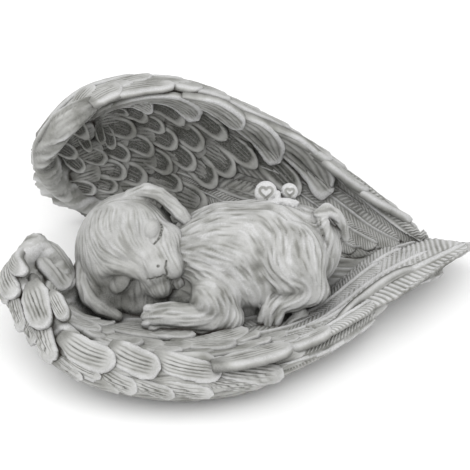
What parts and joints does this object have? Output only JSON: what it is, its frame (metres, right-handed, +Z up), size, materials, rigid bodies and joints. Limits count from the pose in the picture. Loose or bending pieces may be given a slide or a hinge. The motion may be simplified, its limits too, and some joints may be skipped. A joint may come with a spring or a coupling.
{
  "type": "pet memorial statue",
  "caption": "Small grey cast ornament: a puppy sleeps curled on its cheek in a pair of cupped angel wings, with a butterfly on its rump.",
  "frame": {"origin": "middle of the outline in plan, on the level underside", "axes": "+X from the wings' wrists to the feather tips, the longest way; +Y from the low near wing to the tall far wing; +Z up"},
  "size_m": [0.2013, 0.1438, 0.0849],
  "materials": {
    "grey_cast_resin": "matt stone-look cast polyresin, dark wash in the recesses, pale dry-brushed edges"
  },
  "bodies": {
    "root": {"wings_puppy_casting": "grey_cast_resin"}
  },
  "joints": []
}
